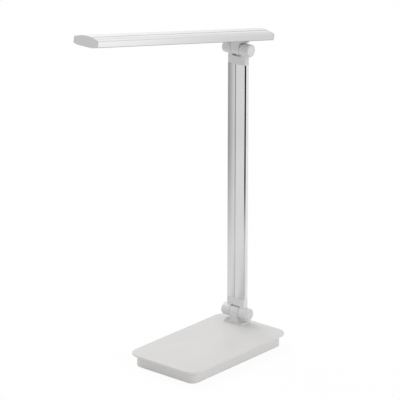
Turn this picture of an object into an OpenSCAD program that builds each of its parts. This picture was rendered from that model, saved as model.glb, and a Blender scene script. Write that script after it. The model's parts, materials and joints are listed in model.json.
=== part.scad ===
// Folding LED desk lamp, millimetres, +Z up. The head points along -Y, the arm stands at the rear left.

/* [Base] */
// Width of the base's top plate, along X
base_w = 110; // [96:1:130]
// Length of the base's top plate, along Y
base_l = 186; // [165:1:215]
// Height of the base from the table to the top plate's upper face
base_h = 18; // [17:0.5:24]
// Corner radius of the top plate
base_r = 16; // [12:1:22]
// Thickness of the top plate
plate_t = 2.6; // [2:0.1:3.4]
// How far the top plate stands out over the tub's wall
overhang = 6; // [4:0.5:7]
// Wall thickness of the tub
tub_wall = 2.4; // [1.8:0.1:3]
// Floor thickness of the tub
tub_floor = 2.5; // [2.2:0.1:3]
// Thickness of the counterweight
weight_t = 5.4; // [4:0.2:5.6]
// Room between the counterweight and each side wall
weight_side = 4.6; // [4.2:0.2:10]
// Room between the counterweight and the front wall
weight_front = 13.6; // [12.8:0.2:24]
// Room behind the counterweight and the board, for the post and the inlet
rear_room = 43.6; // [42:0.2:48]
// Width of the rubber mat under the tub
mat_w = 60; // [50:1:62]
// Length of the rubber mat under the tub
mat_l = 140; // [120:1:150]
// How far the rubber mat stands out under the tub
pad_out = 0.5; // [0.4:0.1:1]

/* [Arm position] */
// Room between the hinge post's foot and the base's left rear screw post
foot_side = 0.5; // [0.5:0.5:9]
// Distance of the lower hinge axis from the top plate's rear edge
axis_inset = 15; // [14.5:0.5:18]
// Distance between the two hinge axes
axis_gap = 349.5; // [320:0.5:380]

/* [Hinges] */
// Outer diameter of the hinge knuckles
knuckle_d = 16; // [15:0.5:17]
// Length of a whole hinge barrel along its axis
barrel_l = 40; // [38:0.5:44]
// Length of the middle knuckle
mid_l = 13; // [12:0.5:14]
// Height of the lower axis over the top plate
axis_h = 13.8; // [13.2:0.1:16]
// Diameter of a hinge pin
pin_d = 6; // [5.6:0.1:6.4]
// Bore of a hinge pin, which the lead runs through
pin_bore = 3.6; // [3.2:0.1:3.8]
// Width of the post's foot on the base
foot_w = 32; // [30:0.5:34]
// Depth of the post's foot on the base
foot_l = 17.5; // [16:0.5:18]
// Thickness of the post's foot
foot_t = 2.2; // [1.8:0.1:2.6]

/* [Arm] */
// Width of the arm
arm_w = 27.2; // [26:0.2:31]
// Thickness of the arm
arm_t = 8; // [7.4:0.1:8.6]
// How far the arm's front face lies before the hinge axes
arm_front = 3.8; // [3.6:0.1:4]
// Thickness of the arm's front plate
front_t = 0.8; // [0.7:0.1:1]
// Height of the dark channel in the arm's side
channel_t = 2.4; // [2.2:0.1:2.5]
// Room on each side of the lead in the arm's rear profile
lead_side = 0.35; // [0.3:0.05:0.6]
// Wall thickness of the arm's rear profile
arm_wall = 1.2; // [1:0.1:1.3]
// How far the dark strips lie back in their channels
strip_back = 0.3; // [0.2:0.05:0.6]
// Distance from a hinge axis to the end of the arm's profile
bracket_h = 19.5; // [18:0.5:24]
// Distance from a hinge axis to the slit's edge in a bracket
slit_h = 9.3; // [9:0.1:10]

/* [Head] */
// Tilt of the head over level, front up, in the photographed pose
head_tilt = 10.4; // [0:0.1:20]
// Distance from the upper axis to the head's front end
head_front = 286; // [250:1:300]
// Distance from the upper axis to the head's rear end
head_rear = 45; // [44:1:56]
// Width of the head
head_w = 37.4; // [36:0.2:42]
// Height of the head's side walls
side_h = 7.8; // [7.4:0.1:9]
// Rise of the head's arched top over its side walls
arch_h = 3.4; // [3:0.1:5]
// Width of the head's lower edge chamfers
chamfer_w = 7.4; // [6.4:0.1:7.6]
// Height of the head's lower edge chamfers
chamfer_h = 1.6; // [1.4:0.1:2]
// Height of the head's flat underside over the upper axis
head_gap = 10.6; // [10.4:0.1:12]
// Wall thickness of the head's profile
head_wall = 1.3; // [1.1:0.1:1.5]
// Thickness of the head's end caps
cap_t = 1.6; // [1.4:0.1:3]
// Width of the light opening in the underside
window_w = 17; // [15:0.5:17.5]

/* [Fits] */
// Clearance on each side between fixed pieces that slide together
fit_gap = 0.1; // [0.08:0.01:0.15]
// Radial clearance of a hinge pin in the middle knuckle
run_gap = 0.05; // [0.03:0.01:0.08]
// Thickness of a friction washer
washer_t = 0.5; // [0.4:0.1:0.6]

/* [Hidden] */
$fn = 64;
axis_y = base_l/2 - axis_inset;
plate_z = base_h - plate_t;
low_z = base_h + axis_h;
top_z = low_z + axis_gap;
knuckle_r = knuckle_d/2;
tub_w = base_w - 2*overhang;
tub_l = base_l - 2*overhang;
tub_r = base_r - overhang;
in_w = tub_w - 2*tub_wall;
in_l = tub_l - 2*tub_wall;
in_r = tub_r - tub_wall;
floor_z = pad_out + tub_floor;
pad_in = 1;
mat_r = 8;
rim_t = 1.6;
rim_h = 3;
// The case screws rise through the tub's posts into the cover's bosses
case_screw_d = 3;
case_post_d = 7;
case_x = in_w/2 - case_post_d/2 - rim_t - 3;
case_y = in_l/2 - case_post_d/2 - rim_t - 3;
case_head_d = 5.6;
case_head_h = 1.8;
boss_h = 5;
case_split_z = plate_z - boss_h;
arm_x = -(case_x - case_post_d/2 - foot_side - foot_w/2);
// The counterweight sits on the tub's floor, on two pegs
weight_w = in_w - 2*weight_side;
weight_l = in_l - weight_front - rear_room;
weight_y = (weight_front - rear_room)/2;
peg_d = 6;
peg_in = 20;
peg_low = 0.6;
peg_y = weight_l/2 - peg_in;
// The board hangs from the cover's two studs
board_w = 58;
board_l = 30;
board_t = 1.6;
board_side = 3.6;
board_x = in_w/2 - board_side - board_w/2;
board_y = in_l/2 - rear_room - board_l/2;
stud_h = 2.4;
stud_d = 5;
stud_dx = board_w/2 - 5;
board_screw_d = 2;
board_z = plate_z - stud_h - board_t;
chip_h = 1.2;
// Place and size of each chip on the board
chips = [[-14, 5, 7, 7], [2, -4, 10, 6], [14, 6, 5, 4]];
board_head_d = 3.8;
board_head_h = 1;
tip_gap = 0.3;
sensor_w = board_w + 2;
sensor_l = 26;
sensor_t = 0.4;
sensor_gap = 16;
sensor_y = board_y - board_l/2 - sensor_gap - sensor_l/2;
// The inlet sits in the tub's rear wall
inlet_w = 11;
inlet_side = 5.5;
inlet_x = case_x - case_post_d/2 - inlet_side - inlet_w/2;
inlet_l = 12;
inlet_h = 9.4;
inlet_z = floor_z + inlet_h/2;
inlet_bore = 6.4;
inlet_pin_d = 2.1;
inlet_depth = 9.5;
inlet_pin_back = 4;
inlet_wall = 1;
cheek_t = 1.6;
cheek_low = 2;
// The post is held from below by two screws through a backing plate
post_screw_x = 11.5;
post_screw_d = 3;
post_boss_d = 6;
back_plate_t = 1.5;
back_plate_l = 11;
back_plate_y = axis_y - 0.4;
post_head_d = 5.4;
post_head_h = 1.8;
post_hole_top = 0.8;
post_tip_gap = 0.4;
lead_d = 2;
lead_hole = 3.6;
// The leads in the base run along the board's underside
lead_z = board_z - lead_d/2;
lead_in = 6;
lead_out = 8;
lead_gap = 0.4;
// Along a hinge axis, the washers fill the space between the knuckles
washer_x = mid_l/2 + run_gap;
side_x = washer_x + washer_t;
barrel_x = barrel_l/2;
recess_d = 11.4;
recess_l = 5.2;
cap_recess_d = knuckle_d - 2.4;
cap_recess_l = 1.2;
cap_out = 0.4;
pin_head_t = 2;
pin_head_d = 9;
nut_t = 2.6;
nut_af = 8;
fix_gap = 0.02;
pin_x = barrel_x - recess_l;
pin_out = 0.6;
lid_skirt = 0.7;
lead_pass = 2.6;
arm_lead_x = side_x + lead_pass/2 + 0.6;
arm_lead_y = 0.2;
lead_bend = 4;
// The arm's section, measured from the hinge axes' plane, -Y before it
arm_rear = arm_t - arm_front;
plate_y = -arm_front + front_t;
body_y = plate_y + channel_t;
cav_w = 2*arm_lead_x + lead_d + 2*lead_side;
neck_w = cav_w + 2*arm_wall;
strip_w = (arm_w - neck_w)/2 - strip_back;
cav_y0 = plate_y + arm_wall;
cav_y1 = arm_rear - arm_wall;
arm_l = axis_gap - 2*bracket_h;
tongue_l = 24;
tongue_x0 = -arm_lead_x + lead_pass/2 + 0.4;
tongue_x1 = cav_w/2 - fit_gap;
tongue_screw_d = 2.5;
tongue_screw_x = 2;
tongue_screw_z = [6, 17];
tongue_head_d = 4.6;
tongue_head_h = 1.2;
groove_w = 1.6;
groove_x = -1.2;
groove_d = front_t/2;
// The head's section, measured up from the upper axis
side_z0 = head_gap + chamfer_h;
side_z1 = side_z0 + side_h;
arch_r = (head_w*head_w/4 + arch_h*arch_h)/(2*arch_h);
arch_z = side_z1 + arch_h - arch_r;
flange_t = 1.2;
flat_x = head_w/2 - chamfer_w;
inner_x = head_w/2 - head_wall;
inner_z = side_z0 + flange_t - head_wall*chamfer_h/chamfer_w;
rail_z = side_z1 - 1.4;
rail_t = 1.2;
rail_in = 6.4;
// Place, width and depth of the grooves along the head's top
head_grooves = [[7.5, 1.2, 0.8], [13.5, 1, 0.6]];
led_w = head_w - 2*head_wall - 9;
led_t = 1.2;
led_z = rail_z - led_t;
led_y0 = 24;
led_y1 = head_front - cap_t - 12;
led_edge = 6;
led_count = 36;
chip_w = 3.5;
chip_l = 2.8;
chip_t = 0.8;
lens_lip = 1.9;
lens_t = 1.6;
lens_y0 = 20;
tail_y1 = head_rear - cap_t - fit_gap;
cap_plug = 6;
plug_x = 6.5;
plug_w = 5;
plug_h = 2;
plug_gap = 0.3;
cap_peg_d = 2.2;
port_x = head_w/2 - 3.4;
port_z = led_z - 1.2;
port_d = 5.2;
top_plate_w = 20;
clamp_t = 1.5;
clamp_w = window_w + 2*lens_lip;
clamp_l = 24;
head_screw_y = 5.4;
head_screw_d = 2.8;
head_screw_l = 6;
head_screw_head_d = 5;
head_screw_head_h = 1.6;
head_tip_gap = 0.4;
head_lead_x = 5;
tail_z = head_gap + flange_t + lens_t;
clamp_z = tail_z;
e = 0.01;

// A flat rounded rectangle, centred
module rounded(w, l, r) {
  square([w - 2*r, l], center = true);
  square([w, l - 2*r], center = true);
  for (sx = [-1, 1], sy = [-1, 1]) translate([sx*(w/2 - r), sy*(l/2 - r)]) circle(r);
}

module slab(w, l, r, z0, z1) {
  translate([0, 0, z0]) linear_extrude(z1 - z0) rounded(w, l, r);
}

// A box from one corner to the other
module span(a, b) {
  translate(a) cube([b[0] - a[0], b[1] - a[1], b[2] - a[2]]);
}

// A cylinder along X from x0 to x1, at height and depth zero
module xcyl(d, x0, x1, sides = 64) {
  translate([x0, 0, 0]) rotate([0, 90, 0]) cylinder(d = d, h = x1 - x0, $fn = sides);
}

// A cylinder along Y from y0 to y1
module ycyl(d, y0, y1) {
  translate([0, y0, 0]) rotate([-90, 0, 0]) cylinder(d = d, h = y1 - y0);
}

// A round lead through a list of points
module route(points) {
  for (i = [0:len(points) - 2]) hull() {
    translate(points[i]) sphere(d = lead_d, $fn = 12);
    translate(points[i + 1]) sphere(d = lead_d, $fn = 12);
  }
}

module at_low() { translate([arm_x, axis_y, low_z]) children(); }
module at_top() { translate([arm_x, axis_y, top_z]) children(); }
module in_head() { at_top() rotate([-head_tilt, 0, 0]) children(); }

module at_case_screws() {
  for (sx = [-1, 1], sy = [-1, 1]) translate([sx*case_x, sy*case_y, 0]) children();
}

module base_tub() color([0.80, 0.81, 0.82]) difference() {
  union() {
    difference() {
      slab(tub_w, tub_l, tub_r, pad_out, plate_z);
      slab(in_w, in_l, in_r, floor_z, plate_z + 1);
    }
    at_case_screws() translate([0, 0, floor_z - e]) cylinder(d = case_post_d, h = case_split_z - floor_z + e);
    for (sy = [-1, 1]) translate([0, weight_y + sy*peg_y, floor_z - e])
      cylinder(d = peg_d, h = weight_t - peg_low + e);
    // Cheeks that hold the inlet
    for (sx = [-1, 1])
      translate([inlet_x + sx*(inlet_w/2 + fit_gap + cheek_t/2) - cheek_t/2, in_l/2 - inlet_l, floor_z - e])
        cube([cheek_t, inlet_l + e, inlet_h - cheek_low]);
  }
  at_case_screws() translate([0, 0, -1]) cylinder(d = case_screw_d + 2*fit_gap, h = 20);
  at_case_screws() translate([0, 0, -1]) cylinder(d = case_head_d + 2*fit_gap, h = 1 + pad_out + case_head_h);
  slab(mat_w + 2*fit_gap, mat_l + 2*fit_gap, mat_r + fit_gap, -1, pad_out + pad_in);
  // Opening of the inlet
  translate([inlet_x, 0, inlet_z]) ycyl(inlet_bore + 1.2, in_l/2 - 1, tub_l/2 + 1);
}

module base_cover() color([0.87, 0.88, 0.88]) difference() {
  union() {
    slab(base_w, base_l, base_r, plate_z, base_h);
    difference() {
      slab(in_w - 2*fit_gap, in_l - 2*fit_gap, in_r - fit_gap, plate_z - rim_h, plate_z + e);
      slab(in_w - 2*fit_gap - 2*rim_t, in_l - 2*fit_gap - 2*rim_t, in_r - fit_gap - rim_t,
        plate_z - rim_h - 1, plate_z);
      // The rim stops at the post's backing plate and at the inlet
      span([arm_x - foot_w/2 - 5, in_l/2 - 8, plate_z - rim_h - 1], [inlet_x + inlet_w/2 + 3, in_l, plate_z]);
    }
    at_case_screws() translate([0, 0, case_split_z]) cylinder(d = case_post_d, h = boss_h + e);
    for (sx = [-1, 1]) translate([board_x + sx*stud_dx, board_y, plate_z - stud_h])
      cylinder(d = stud_d, h = stud_h + e);
  }
  at_case_screws() translate([0, 0, case_split_z - 1])
    cylinder(d = case_screw_d + 2*fix_gap, h = boss_h + 1 + tip_gap);
  for (sx = [-1, 1]) translate([board_x + sx*stud_dx, board_y, plate_z - stud_h - 1])
    cylinder(d = board_screw_d + 2*fix_gap, h = stud_h + 2);
  // Holes of the post's bosses and of its lead
  for (sx = [-1, 1]) translate([arm_x + sx*post_screw_x, axis_y, plate_z - 1])
    cylinder(d = post_boss_d + 2*fit_gap, h = plate_t + 2);
  translate([arm_x, axis_y, plate_z - 1]) cylinder(d = lead_hole, h = plate_t + 2);
}

module counterweight() color([0.45, 0.45, 0.46]) difference() {
  translate([0, weight_y, 0]) slab(weight_w, weight_l, 3, floor_z, floor_z + weight_t);
  for (sy = [-1, 1]) translate([0, weight_y + sy*peg_y, floor_z - 1])
    cylinder(d = peg_d + 2*fit_gap, h = weight_t + 2);
}

module rubber_mat() color([0.2, 0.2, 0.2]) slab(mat_w, mat_l, mat_r, 0, pad_out + pad_in);

module case_screws() color([0.6, 0.6, 0.62]) at_case_screws() {
  translate([0, 0, pad_out]) cylinder(d = case_head_d, h = case_head_h);
  translate([0, 0, pad_out + case_head_h - e])
    cylinder(d = case_screw_d, h = plate_z - pad_out - case_head_h);
}

module control_board() color([0.1, 0.4, 0.2]) difference() {
  translate([board_x, board_y, 0]) slab(board_w, board_l, 1.5, board_z, board_z + board_t);
  for (sx = [-1, 1]) translate([board_x + sx*stud_dx, board_y, board_z - 1])
    cylinder(d = board_screw_d + 2*fit_gap, h = board_t + 2);
}

module board_chips() color([0.15, 0.15, 0.16]) {
  for (p = chips) translate([board_x + p[0] - p[2]/2, board_y + p[1] - p[3]/2, board_z - chip_h])
    cube([p[2], p[3], chip_h]);
}

module board_screws() color([0.6, 0.6, 0.62])
  for (sx = [-1, 1]) translate([board_x + sx*stud_dx, board_y, 0]) {
    translate([0, 0, board_z - board_head_h]) cylinder(d = board_head_d, h = board_head_h);
    translate([0, 0, board_z - e]) cylinder(d = board_screw_d, h = board_t + stud_h - tip_gap);
  }

module touch_sensor() color([0.75, 0.55, 0.25])
  translate([board_x, sensor_y, 0]) slab(sensor_w, sensor_l, 3, plate_z - sensor_t, plate_z);

module inlet_socket() color([0.12, 0.12, 0.13]) difference() {
  span([inlet_x - inlet_w/2, in_l/2 - inlet_l, floor_z], [inlet_x + inlet_w/2, in_l/2, floor_z + inlet_h]);
  translate([inlet_x, 0, inlet_z]) ycyl(inlet_bore, in_l/2 - inlet_depth, in_l/2 + 1);
  translate([inlet_x, 0, inlet_z]) ycyl(inlet_pin_d, in_l/2 - inlet_l + inlet_wall, in_l/2);
}

module inlet_pin() color([0.8, 0.75, 0.5])
  translate([inlet_x, 0, inlet_z])
    ycyl(inlet_pin_d - 2*fix_gap, in_l/2 - inlet_l + inlet_wall, in_l/2 - inlet_pin_back);

module inlet_lead() color([0.15, 0.15, 0.15]) {
  y0 = in_l/2 - inlet_l - lead_d/2;
  y1 = board_y + board_l/2 - lead_in;
  route([[inlet_x, y0, inlet_z], [inlet_x, y0 - lead_in, inlet_z], [inlet_x, y1 + lead_in/2, lead_z],
    [inlet_x, y1, lead_z]]);
}

module base_lead() color([0.15, 0.15, 0.15]) {
  x0 = board_x - board_w/2 + lead_in;
  y0 = board_y + board_l/2;
  route([[x0, y0 - lead_in, lead_z], [x0, y0, lead_z], [arm_x, y0 + lead_out, lead_z],
    [arm_x, axis_y, lead_z], [arm_x, axis_y, low_z - pin_d/2 - lead_d/2 - lead_gap]]);
}

// The middle knuckle: round about the axis, with flat front and rear down to its foot
module mid_knuckle(reach) {
  xcyl(knuckle_d, -mid_l/2, mid_l/2);
  span([-mid_l/2, -knuckle_r, -reach], [mid_l/2, knuckle_r, 0]);
}

module lower_post() color([0.72, 0.73, 0.74]) difference() {
  union() {
    at_low() mid_knuckle(axis_h - foot_t + e);
    translate([arm_x, axis_y, 0]) slab(foot_w, foot_l, 2.5, base_h, base_h + foot_t);
    for (sx = [-1, 1]) translate([arm_x + sx*post_screw_x, axis_y, plate_z])
      cylinder(d = post_boss_d, h = plate_t + e);
  }
  at_low() xcyl(pin_d + 2*run_gap, -mid_l, mid_l);
  translate([arm_x, axis_y, base_h - 1]) cylinder(d = lead_hole, h = axis_h + 1);
  for (sx = [-1, 1]) translate([arm_x + sx*post_screw_x, axis_y, plate_z - 1])
    cylinder(d = post_screw_d + 2*fix_gap, h = 1 + plate_t + foot_t - post_hole_top);
}

module post_backing_plate() color([0.6, 0.6, 0.62]) difference() {
  translate([arm_x, back_plate_y, 0]) slab(foot_w, back_plate_l, 1.5, plate_z - back_plate_t, plate_z);
  for (sx = [-1, 1]) translate([arm_x + sx*post_screw_x, axis_y, plate_z - 3])
    cylinder(d = post_screw_d + 2*fit_gap, h = 5);
  translate([arm_x, axis_y, plate_z - 3]) cylinder(d = lead_hole, h = 5);
}

module post_screws() color([0.6, 0.6, 0.62])
  for (sx = [-1, 1]) translate([arm_x + sx*post_screw_x, axis_y, plate_z - back_plate_t]) {
    translate([0, 0, -post_head_h]) cylinder(d = post_head_d, h = post_head_h);
    translate([0, 0, -e])
      cylinder(d = post_screw_d, h = back_plate_t + plate_t + foot_t - post_hole_top - post_tip_gap);
  }

// A bracket with its two outer knuckles at the axis, reaching up
module bracket() difference() {
  union() {
    for (s = [0, 1]) mirror([s, 0, 0]) {
      xcyl(knuckle_d, side_x, barrel_x);
      span([side_x, -arm_front, 0], [arm_w/2, arm_rear, slit_h + e]);
    }
    span([-arm_w/2, -arm_front, slit_h], [arm_w/2, arm_rear, bracket_h]);
    span([tongue_x0, cav_y0 + fit_gap, bracket_h - e], [tongue_x1, cav_y1 - fit_gap, bracket_h + tongue_l]);
  }
  xcyl(pin_d + 2*fix_gap, -barrel_l, barrel_l);
  for (s = [0, 1]) mirror([s, 0, 0]) {
    xcyl(recess_d, pin_x, barrel_l);
    xcyl(cap_recess_d, barrel_x - cap_recess_l, barrel_l);
  }
  // The lead's passage from the pin up into the arm
  translate([-arm_lead_x, arm_lead_y, 0]) cylinder(d = lead_pass, h = bracket_h + 1);
  for (z = tongue_screw_z) translate([tongue_screw_x, 0, bracket_h + z])
    ycyl(tongue_screw_d + 2*fix_gap, cav_y0 - 1, arm_rear + 1);
}

module lower_bracket() color([0.72, 0.73, 0.74]) at_low() bracket();
module upper_bracket() color([0.72, 0.73, 0.74]) at_top() mirror([0, 0, 1]) bracket();

module arm_section() difference() {
  union() {
    translate([-arm_w/2, body_y]) square([arm_w, arm_rear - body_y]);
    translate([-neck_w/2, plate_y]) square([neck_w, channel_t + e]);
  }
  translate([-cav_w/2, cav_y0]) square([cav_w, cav_y1 - cav_y0]);
}

module arm_profile() color([0.85, 0.86, 0.87]) difference() {
  at_low() translate([0, 0, bracket_h]) linear_extrude(arm_l) arm_section();
  at_low() for (z = tongue_screw_z) for (zz = [bracket_h + z, axis_gap - bracket_h - z])
    translate([tongue_screw_x, 0, zz]) ycyl(tongue_screw_d + 2*fit_gap, cav_y1 - 0.5, arm_rear + 1);
}

module arm_front_plate() color([0.86, 0.87, 0.88]) at_low() difference() {
  span([-arm_w/2, -arm_front, bracket_h], [arm_w/2, plate_y, bracket_h + arm_l]);
  span([groove_x - groove_w/2, -arm_front - 1, bracket_h - 1],
    [groove_x + groove_w/2, -arm_front + groove_d, bracket_h + arm_l + 1]);
}

module arm_side_strips() color([0.08, 0.08, 0.09]) at_low()
  for (s = [0, 1]) mirror([s, 0, 0])
    span([neck_w/2, plate_y, bracket_h], [neck_w/2 + strip_w, body_y, bracket_h + arm_l]);

// A hollow hinge pin with windows for the lead in its middle and over the left knuckle
module hinge_pin() difference() {
  union() {
    xcyl(pin_d, -pin_x, pin_x + nut_t + pin_out);
    xcyl(pin_head_d, -pin_x - pin_head_t, -pin_x);
  }
  xcyl(pin_bore, -arm_lead_x - lead_pass/2 - 0.2, lead_hole/2);
  translate([-arm_lead_x, arm_lead_y, 0]) cylinder(d = lead_pass, h = pin_d);
  translate([0, 0, -pin_d]) cylinder(d = lead_hole - 0.4, h = pin_d);
}

module lower_pin() color([0.6, 0.6, 0.62]) at_low() hinge_pin();
module upper_pin() color([0.6, 0.6, 0.62]) at_top() mirror([0, 0, 1]) hinge_pin();

module washers() for (s = [0, 1]) mirror([s, 0, 0]) difference() {
  xcyl(knuckle_d - 2, washer_x, side_x);
  xcyl(pin_d + 2*fit_gap, 0, barrel_l);
}

module lower_washers() color([0.3, 0.3, 0.3]) at_low() washers();
module upper_washers() color([0.3, 0.3, 0.3]) at_top() washers();

module nut() difference() {
  xcyl(nut_af/cos(30), pin_x, pin_x + nut_t, 6);
  xcyl(pin_d + 2*fix_gap, 0, barrel_l);
}

module lower_nut() color([0.6, 0.6, 0.62]) at_low() nut();
module upper_nut() color([0.6, 0.6, 0.62]) at_top() nut();

module hinge_caps() for (s = [0, 1]) mirror([s, 0, 0]) {
  xcyl(cap_recess_d - 2*fit_gap, barrel_x - cap_recess_l, barrel_x + cap_out);
  difference() {
    xcyl(recess_d - 2*fit_gap, barrel_x - cap_recess_l - lid_skirt, barrel_x - cap_recess_l + e);
    xcyl(recess_d - 2*fit_gap - 2*lid_skirt, 0, barrel_x - cap_recess_l - e);
  }
}

module lower_hinge_caps() color([0.78, 0.79, 0.8]) at_low() hinge_caps();
module upper_hinge_caps() color([0.78, 0.79, 0.8]) at_top() hinge_caps();

module bracket_screws() color([0.6, 0.6, 0.62]) at_low()
  for (z = tongue_screw_z) for (zz = [bracket_h + z, axis_gap - bracket_h - z])
    translate([tongue_screw_x, 0, zz]) {
      ycyl(tongue_screw_d, cav_y0 + fit_gap, arm_rear + e);
      ycyl(tongue_head_d, arm_rear, arm_rear + tongue_head_h);
    }

module arm_lead() color([0.15, 0.15, 0.15]) at_low()
  route([[0, 0, 0], [-arm_lead_x, 0, 0], [-arm_lead_x, arm_lead_y, lead_bend],
    [-arm_lead_x, arm_lead_y, axis_gap - lead_bend], [-arm_lead_x, 0, axis_gap], [0, 0, axis_gap]]);

// The head is drawn level about the upper axis, with its front along -Y, and tilted as one
module head_outline() {
  intersection() {
    translate([-head_w/2, side_z0]) square([head_w, side_h + arch_h + 1]);
    translate([0, arch_z]) circle(arch_r, $fn = 180);
  }
  polygon([[-head_w/2, side_z0 + e], [-flat_x, head_gap], [flat_x, head_gap], [head_w/2, side_z0 + e]]);
}

module head_inner() {
  intersection() {
    translate([-inner_x, inner_z - e]) square([2*inner_x, side_h + arch_h + 1]);
    translate([0, arch_z]) circle(arch_r - head_wall, $fn = 180);
  }
  // Its lower corners run parallel to the outer chamfers
  polygon([[-inner_x, inner_z], [-inner_x, inner_z - e], [-flat_x, head_gap + flange_t],
    [flat_x, head_gap + flange_t], [inner_x, inner_z - e], [inner_x, inner_z]]);
}

module head_section() difference() {
  union() {
    difference() {
      head_outline();
      head_inner();
    }
    // Rails that carry the light board, and ports that take the end caps' pegs
    for (s = [-1, 1]) translate([s*(head_w/2 - head_wall/2 - rail_in/2) - rail_in/2, rail_z])
      square([rail_in, rail_t]);
    for (s = [-1, 1]) translate([s*port_x, port_z]) circle(d = port_d);
  }
  for (s = [-1, 1]) translate([s*port_x, port_z]) circle(d = cap_peg_d + 2*fix_gap);
  translate([-window_w/2, head_gap - 1]) square([window_w, flange_t + 2]);
  for (s = [-1, 1], g = head_grooves)
    translate([s*g[0] - g[1]/2, arch_z + sqrt(arch_r*arch_r - g[0]*g[0]) - g[2]]) square([g[1], arch_h]);
}

// An extrusion along Y between two distances before the upper axis
module along(y0, y1) { translate([0, -y0, 0]) rotate([90, 0, 0]) linear_extrude(y1 - y0) children(); }

module head_profile() color([0.88, 0.89, 0.9]) in_head()
  along(-head_rear + cap_t, head_front - cap_t) head_section();

// An end cap: the head's outline with pegs for the ports and two plugs under the roof
module cap_body(y0, y1, plug0, plug1) {
  along(y0, y1) head_outline();
  along(plug0, plug1) for (s = [-1, 1]) {
    translate([s*port_x, port_z]) circle(d = cap_peg_d);
    translate([s*plug_x - plug_w/2, rail_z + plug_gap]) square([plug_w, plug_h]);
  }
}

module head_front_cap() color([0.76, 0.77, 0.78]) in_head()
  cap_body(head_front - cap_t, head_front, head_front - cap_t - cap_plug, head_front - cap_t + e);
module head_rear_cap() color([0.74, 0.75, 0.76]) in_head()
  cap_body(-head_rear, -head_rear + cap_t, -head_rear + cap_t - e, -head_rear + cap_t + cap_plug);

// A strip in the underside's opening: a lip on the flanges and a body in the window
module window_strip() {
  translate([-window_w/2 + fit_gap, head_gap]) square([window_w - 2*fit_gap, flange_t + e]);
  translate([-window_w/2 - lens_lip + fit_gap, head_gap + flange_t])
    square([window_w + 2*lens_lip - 2*fit_gap, lens_t]);
}

module diffuser() color([0.95, 0.95, 0.93]) in_head()
  along(lens_y0 + fit_gap, head_front - cap_t - fit_gap) window_strip();

module head_tail_plate() color([0.82, 0.83, 0.84]) in_head() difference() {
  along(-tail_y1, lens_y0) window_strip();
  for (sy = [-1, 1]) translate([0, sy*head_screw_y, head_gap - 1])
    cylinder(d = head_screw_d + 2*fit_gap, h = 6);
  translate([0, 0, head_gap - 1]) cylinder(d = lead_hole, h = 6);
}

module led_board() color([0.93, 0.93, 0.9]) in_head()
  span([-led_w/2, -led_y1, led_z], [led_w/2, -led_y0, led_z + led_t]);

module led_chips() color([0.95, 0.85, 0.4]) in_head()
  for (i = [0:led_count - 1]) {
    y = led_y0 + led_edge + i*(led_y1 - led_y0 - 2*led_edge)/(led_count - 1);
    translate([-chip_w/2, -y - chip_l/2, led_z - chip_t]) cube([chip_w, chip_l, chip_t]);
  }

module head_clamp_plate() color([0.6, 0.6, 0.62]) in_head() difference() {
  span([-clamp_w/2, -clamp_l/2, clamp_z], [clamp_w/2, clamp_l/2, clamp_z + clamp_t]);
  for (sy = [-1, 1]) translate([0, sy*head_screw_y, clamp_z - 1])
    cylinder(d = head_screw_d + 2*fit_gap, h = 4);
  translate([0, 0, clamp_z - 1]) cylinder(d = lead_hole, h = 4);
}

module head_post() color([0.72, 0.73, 0.74]) in_head() difference() {
  union() {
    mirror([0, 0, 1]) mid_knuckle(head_gap - foot_t + e);
    slab(top_plate_w, foot_l, 2, head_gap - foot_t, head_gap);
  }
  xcyl(pin_d + 2*run_gap, -mid_l, mid_l);
  cylinder(d = lead_hole, h = head_gap + 1);
  for (sy = [-1, 1]) translate([0, sy*head_screw_y, head_gap - head_screw_l])
    cylinder(d = head_screw_d + 2*fix_gap, h = head_screw_l + 1);
}

module head_post_screws() color([0.6, 0.6, 0.62]) in_head()
  for (sy = [-1, 1]) translate([0, sy*head_screw_y, 0]) {
    translate([0, 0, clamp_z + clamp_t]) cylinder(d = head_screw_head_d, h = head_screw_head_h);
    translate([0, 0, head_gap - head_screw_l + head_tip_gap])
      cylinder(d = head_screw_d, h = clamp_z + clamp_t - head_gap + head_screw_l - head_tip_gap + e);
  }

module head_lead() color([0.15, 0.15, 0.15]) in_head()
  route([[0, 0, pin_d/2 + lead_d/2 + lead_gap], [0, 0, led_z - lead_d/2],
    [head_lead_x, -lead_d/2, led_z - lead_d/2], [head_lead_x, -led_y0 - lead_d, led_z - lead_d/2]]);

base_tub();
base_cover();
counterweight();
rubber_mat();
case_screws();
control_board();
board_chips();
board_screws();
touch_sensor();
inlet_socket();
inlet_pin();
inlet_lead();
base_lead();
lower_post();
post_backing_plate();
post_screws();
lower_bracket();
upper_bracket();
arm_profile();
arm_front_plate();
arm_side_strips();
lower_pin();
upper_pin();
lower_washers();
upper_washers();
lower_nut();
upper_nut();
lower_hinge_caps();
upper_hinge_caps();
bracket_screws();
arm_lead();
head_post();
head_profile();
head_front_cap();
head_rear_cap();
diffuser();
head_tail_plate();
led_board();
led_chips();
head_clamp_plate();
head_post_screws();
head_lead();
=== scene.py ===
"""Looks of a folding LED desk lamp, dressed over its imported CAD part.

The lamp stands on a flat rounded base. A flat aluminium arm rises from a barrel hinge at the rear
left, and a second barrel hinge carries the slim light head. All lengths are metres, +Z up, and the
head points along -Y.
"""

import json
import logging
import math
from dataclasses import dataclass, replace
from enum import Enum
from functools import cached_property
from typing import Callable, Iterable

import bmesh
import bpy
from bmesh.types import BMEdge, BMesh, BMVert
from bpy.types import Material, Node, NodeSocket, NodeTree, Object
from mathutils import Matrix, Vector


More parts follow.
